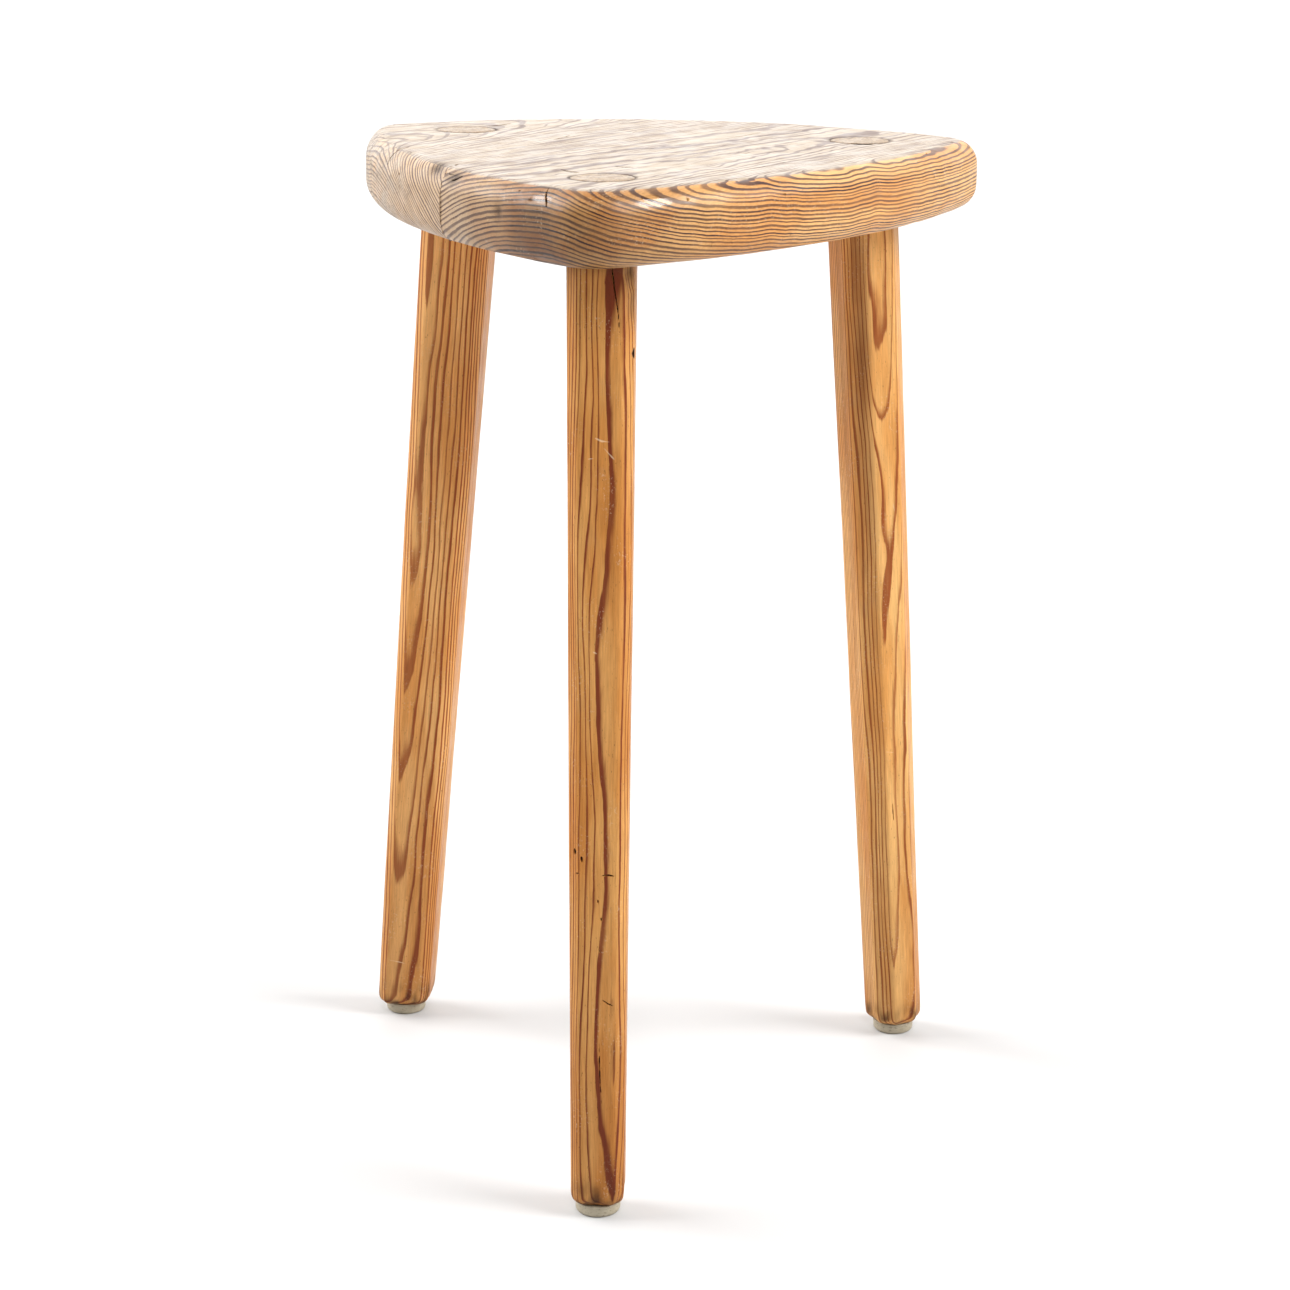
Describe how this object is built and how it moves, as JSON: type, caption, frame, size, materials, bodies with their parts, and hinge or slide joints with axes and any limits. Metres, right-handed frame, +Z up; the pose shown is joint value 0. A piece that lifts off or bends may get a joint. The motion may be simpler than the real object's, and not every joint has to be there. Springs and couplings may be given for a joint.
{
  "type": "wooden milking stool",
  "caption": "Tall wooden stool: rounded triangular seat of edge-glued boards, with splayed, tapered legs tenoned through it, standing on nail-on glides.",
  "frame": {"origin": "on the floor, under the middle of the stool's bounding box", "axes": "+Z up; +Y to the back, away from the single front leg; +X to the right seen from the front"},
  "size_m": [0.3371, 0.3386, 0.53],
  "materials": {
    "seat_pine": "satin",
    "leg_pine": "satin",
    "dowel_beech": "matte",
    "glide_plastic": "satin",
    "nail_steel": "satin"
  },
  "bodies": {
    "root": {"glide_front": "glide_plastic", "glide_left": "glide_plastic", "glide_nail_front": "nail_steel", "glide_nail_left": "nail_steel", "glide_nail_right": "nail_steel", "glide_right": "glide_plastic", "leg_front": "leg_pine", "leg_left": "leg_pine", "leg_right": "leg_pine", "seat_board_narrow": "seat_pine", "seat_board_wide": "seat_pine", "seat_dowel_back": "dowel_beech", "seat_dowel_front": "dowel_beech"}
  },
  "joints": []
}
